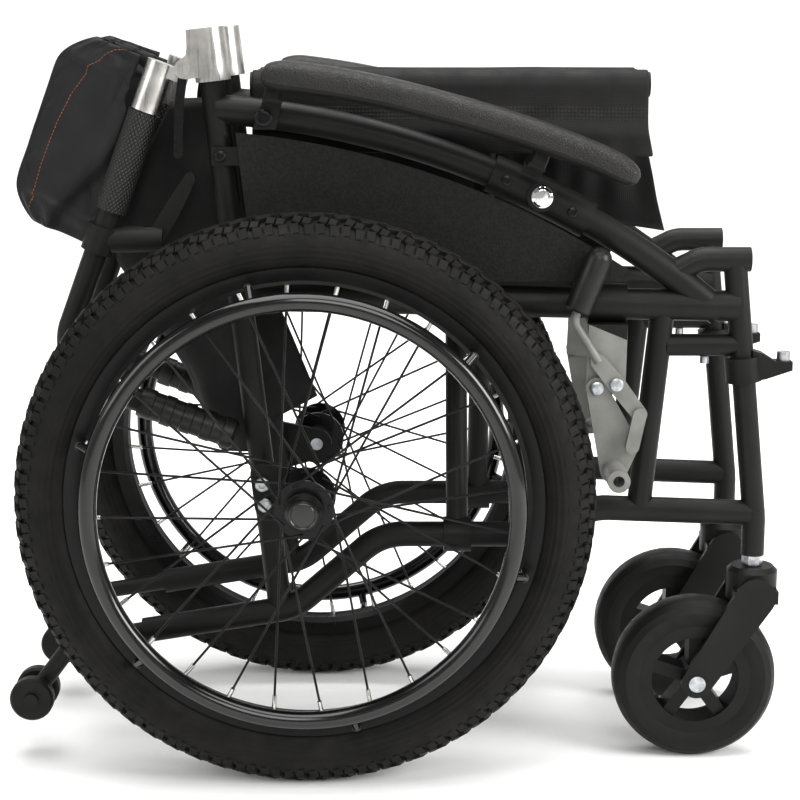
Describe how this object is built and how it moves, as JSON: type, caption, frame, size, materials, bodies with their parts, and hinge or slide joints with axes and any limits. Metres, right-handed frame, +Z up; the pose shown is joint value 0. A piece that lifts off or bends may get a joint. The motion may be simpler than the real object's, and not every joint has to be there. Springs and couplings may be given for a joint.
{
  "type": "folding all-terrain wheelchair",
  "caption": "Narrow folding manual wheelchair on knobbly spoked wheels and casters, shown folded with its back canes swung down behind it.",
  "frame": {"origin": "on the floor, under the middle of the folded chair", "axes": "+X forward, +Y to the chair's left, +Z up; the chair folds along Y"},
  "size_m": [0.7096, 0.4, 0.6651],
  "materials": {
    "black_frame_tube": "satin black powder coat",
    "guard_sheet": "fine grained black sheet",
    "black_fitting": "satin black",
    "zinc_steel": "zinc plated",
    "black_hub": "satin black",
    "black_rim": "gloss black",
    "tyre_rubber": "matt rubber",
    "black_spoke": "black spokes with plated nipples",
    "black_push_rim": "satin black",
    "black_fork": "satin black",
    "caster_plastic": "moulded",
    "caster_rubber": "matt",
    "grey_brake_steel": "silver grey paint",
    "grip_rubber": "matt",
    "pad_skin": "grained soft skin",
    "chrome_button": "polished",
    "bright_aluminium": "satin",
    "lever_plastic": "moulded",
    "back_cloth": "dark grey nylon",
    "seat_cloth": "black nylon"
  },
  "bodies": {
    "right_frame": {"right_side_frame": "black_frame_tube", "right_side_guard": "guard_sheet", "right_frame_fittings": "black_fitting", "right_hardware": "zinc_steel", "right_brake_plate": "grey_brake_steel", "right_back_socket": "bright_aluminium", "right_antitip_arm": "black_frame_tube", "lower_back": "seat_cloth"},
    "right_wheel": {"right_hub": "black_hub", "right_rim": "black_rim", "right_tyre": "tyre_rubber", "right_spokes": "black_spoke", "right_push_rim": "black_push_rim"},
    "right_caster": {"right_caster_fork": "black_fork"},
    "right_caster_wheel": {"right_caster_core": "caster_plastic", "right_caster_tyre": "caster_rubber"},
    "right_brake_lever_body": {"right_brake_lever": "grey_brake_steel", "right_brake_grip": "grip_rubber"},
    "right_brake_arm_body": {"right_brake_arm": "grey_brake_steel"},
    "right_armrest": {"right_armrest_bracket": "black_fitting", "right_armrest_pad": "pad_skin"},
    "right_latch": {"right_latch_button": "chrome_button"},
    "right_cane_body": {"right_cane": "black_frame_tube", "right_cane_hinge": "bright_aluminium", "right_push_grip": "grip_rubber"},
    "right_clamp": {"right_clamp_lever": "lever_plastic"},
    "right_antitip": {"right_antitip_wheels": "grip_rubber"},
    "right_outer_leaf": {"right_leaf_outer": "back_cloth"},
    "right_inner_leaf": {"right_leaf_inner": "back_cloth"},
    "left_frame": {"left_side_frame": "black_frame_tube", "left_side_guard": "guard_sheet", "left_frame_fittings": "black_fitting", "left_hardware": "zinc_steel", "left_brake_plate": "grey_brake_steel", "left_back_socket": "bright_aluminium", "left_antitip_arm": "black_frame_tube"},
    "left_wheel": {"left_hub": "black_hub", "left_rim": "black_rim", "left_tyre": "tyre_rubber", "left_spokes": "black_spoke", "left_push_rim": "black_push_rim"},
    "left_caster": {"left_caster_fork": "black_fork"},
    "left_caster_wheel": {"left_caster_core": "caster_plastic", "left_caster_tyre": "caster_rubber"},
    "left_brake_lever_body": {"left_brake_lever": "grey_brake_steel", "left_brake_grip": "grip_rubber"},
    "left_brake_arm_body": {"left_brake_arm": "grey_brake_steel"},
    "left_armrest": {"left_armrest_bracket": "black_fitting", "left_armrest_pad": "pad_skin"},
    "left_latch": {"left_latch_button": "chrome_button"},
    "left_cane_body": {"left_cane": "black_frame_tube", "left_cane_hinge": "bright_aluminium", "left_push_grip": "grip_rubber"},
    "left_clamp": {"left_clamp_lever": "lever_plastic"},
    "left_antitip": {"left_antitip_wheels": "grip_rubber"},
    "left_outer_leaf": {"left_leaf_outer": "back_cloth"},
    "left_inner_leaf": {"left_leaf_inner": "back_cloth"},
    "brace_a_body": {"brace_a": "black_frame_tube", "seat_sling": "seat_cloth"},
    "brace_b_body": {"brace_b": "black_frame_tube"}
  },
  "joints": [
    {"name": "brace_fold", "type": "hinge", "parent": "right_frame", "child": "brace_a_body", "pos_m": [0.0558, -0.08, 0.209], "axis": [-1, 0, 0], "range_deg": [0, 45.31], "deforming": ["right_leaf_outer", "right_leaf_inner", "left_leaf_outer", "left_leaf_inner", "seat_sling", "lower_back"]},
    {"name": "brace_cross", "type": "hinge", "parent": "brace_a_body", "child": "brace_b_body", "pos_m": [0.0678, 0, 0.41823], "axis": [1, 0, 0], "range_deg": [0, 90.62]},
    {"name": "left_frame_turn", "type": "hinge", "parent": "brace_b_body", "child": "left_frame", "pos_m": [0.0798, 0.08, 0.209], "axis": [-1, 0, 0], "range_deg": [0, 45.32]},
    {"name": "right_wheel_spin", "type": "hinge", "parent": "right_frame", "child": "right_wheel", "pos_m": [-0.0792, -0.147, 0.255], "axis": [0, 1, 0], "continuous": true},
    {"name": "right_caster_swivel", "type": "hinge", "parent": "right_frame", "child": "right_caster", "pos_m": [0.3263, -0.08, 0.165], "axis": [0, 0, 1], "continuous": true},
    {"name": "right_caster_spin", "type": "hinge", "parent": "right_caster", "child": "right_caster_wheel", "pos_m": [0.2748, -0.08, 0.075], "axis": [0, 1, 0], "continuous": true},
    {"name": "right_antitip_spin", "type": "hinge", "parent": "right_frame", "child": "right_antitip", "pos_m": [-0.3348, -0.08, 0.057], "axis": [0, 1, 0], "continuous": true},
    {"name": "right_brake_lever_turn", "type": "hinge", "parent": "right_frame", "child": "right_brake_lever_body", "pos_m": [0.1948, -0.08, 0.354], "axis": [0, 1, 0], "range_deg": [0, 11.5]},
    {"name": "right_brake_arm_turn", "type": "hinge", "parent": "right_frame", "child": "right_brake_arm_body", "pos_m": [0.1778, -0.08, 0.35], "axis": [0, 1, 0], "range_deg": [0, 6.8]},
    {"name": "right_armrest_flip", "type": "hinge", "parent": "right_frame", "child": "right_armrest", "pos_m": [-0.1142, -0.08, 0.5866], "axis": [0, -1, 0], "range_deg": [0, 90]},
    {"name": "right_latch_press", "type": "slide", "parent": "right_frame", "child": "right_latch", "axis": [0, 1, 0], "range_m": [0, 0.003], "stiffness_N_per_m": 800, "springref_m": -0.001},
    {"name": "right_cane_fold", "type": "hinge", "parent": "right_frame", "child": "right_cane_body", "pos_m": [-0.18319, -0.08, 0.62799], "axis": [0, 1, 0], "range_deg": [0, 153]},
    {"name": "right_clamp_turn", "type": "hinge", "parent": "right_cane_body", "child": "right_clamp", "pos_m": [-0.2132, -0.08, 0.479], "axis": [0, -1, 0], "range_deg": [0, 30]},
    {"name": "right_outer_leaf_turn", "type": "hinge", "parent": "right_cane_body", "child": "right_outer_leaf", "pos_m": [-0.20332, -0.08, 0.63554], "axis": [-0.3511, 0, -0.9363], "range_deg": [0, 67.04]},
    {"name": "right_inner_leaf_turn", "type": "hinge", "parent": "right_outer_leaf", "child": "right_inner_leaf", "pos_m": [-0.29169, -0.04, 0.66868], "axis": [-0.3511, 0, -0.9363], "range_deg": [-134.07, 0]},
    {"name": "left_wheel_spin", "type": "hinge", "parent": "left_frame", "child": "left_wheel", "pos_m": [-0.0792, 0.147, 0.255], "axis": [0, 1, 0], "continuous": true},
    {"name": "left_caster_swivel", "type": "hinge", "parent": "left_frame", "child": "left_caster", "pos_m": [0.3263, 0.08, 0.165], "axis": [0, 0, 1], "continuous": true},
    {"name": "left_caster_spin", "type": "hinge", "parent": "left_caster", "child": "left_caster_wheel", "pos_m": [0.2748, 0.08, 0.075], "axis": [0, 1, 0], "continuous": true},
    {"name": "left_antitip_spin", "type": "hinge", "parent": "left_frame", "child": "left_antitip", "pos_m": [-0.3348, 0.08, 0.057], "axis": [0, 1, 0], "continuous": true},
    {"name": "left_brake_lever_turn", "type": "hinge", "parent": "left_frame", "child": "left_brake_lever_body", "pos_m": [0.1948, 0.08, 0.354], "axis": [0, 1, 0], "range_deg": [0, 11.5]},
    {"name": "left_brake_arm_turn", "type": "hinge", "parent": "left_frame", "child": "left_brake_arm_body", "pos_m": [0.1778, 0.08, 0.35], "axis": [0, 1, 0], "range_deg": [0, 6.8]},
    {"name": "left_armrest_flip", "type": "hinge", "parent": "left_frame", "child": "left_armrest", "pos_m": [-0.1142, 0.08, 0.5866], "axis": [0, -1, 0], "range_deg": [0, 90]},
    {"name": "left_latch_press", "type": "slide", "parent": "left_frame", "child": "left_latch", "axis": [0, -1, 0], "range_m": [0, 0.003], "stiffness_N_per_m": 800, "springref_m": -0.001},
    {"name": "left_cane_fold", "type": "hinge", "parent": "left_frame", "child": "left_cane_body", "pos_m": [-0.18319, 0.08, 0.62799], "axis": [0, 1, 0], "range_deg": [0, 153]},
    {"name": "left_clamp_turn", "type": "hinge", "parent": "left_cane_body", "child": "left_clamp", "pos_m": [-0.2132, 0.08, 0.479], "axis": [0, -1, 0], "range_deg": [0, 30]},
    {"name": "left_outer_leaf_turn", "type": "hinge", "parent": "left_cane_body", "child": "left_outer_leaf", "pos_m": [-0.20332, 0.08, 0.63554], "axis": [-0.3511, 0, -0.9363], "range_deg": [-67.04, 0]},
    {"name": "left_inner_leaf_turn", "type": "hinge", "parent": "left_outer_leaf", "child": "left_inner_leaf", "pos_m": [-0.29169, 0.04, 0.66868], "axis": [-0.3511, 0, -0.9363], "range_deg": [0, 134.07]}
  ],
  "couplings": [
    {"joint": "brace_cross", "follows": "brace_fold", "ratio": 2},
    {"joint": "left_frame_turn", "follows": "brace_fold", "ratio": 1},
    {"joint": "right_brake_arm_turn", "follows": "right_brake_lever_turn", "ratio": 0.591},
    {"joint": "right_outer_leaf_turn", "follows": "brace_fold", "ratio": 1.4795},
    {"joint": "right_inner_leaf_turn", "follows": "brace_fold", "ratio": -2.959},
    {"joint": "left_brake_arm_turn", "follows": "left_brake_lever_turn", "ratio": 0.591},
    {"joint": "left_cane_fold", "follows": "right_cane_fold", "ratio": 1},
    {"joint": "left_outer_leaf_turn", "follows": "brace_fold", "ratio": -1.4795},
    {"joint": "left_inner_leaf_turn", "follows": "brace_fold", "ratio": 2.959}
  ]
}
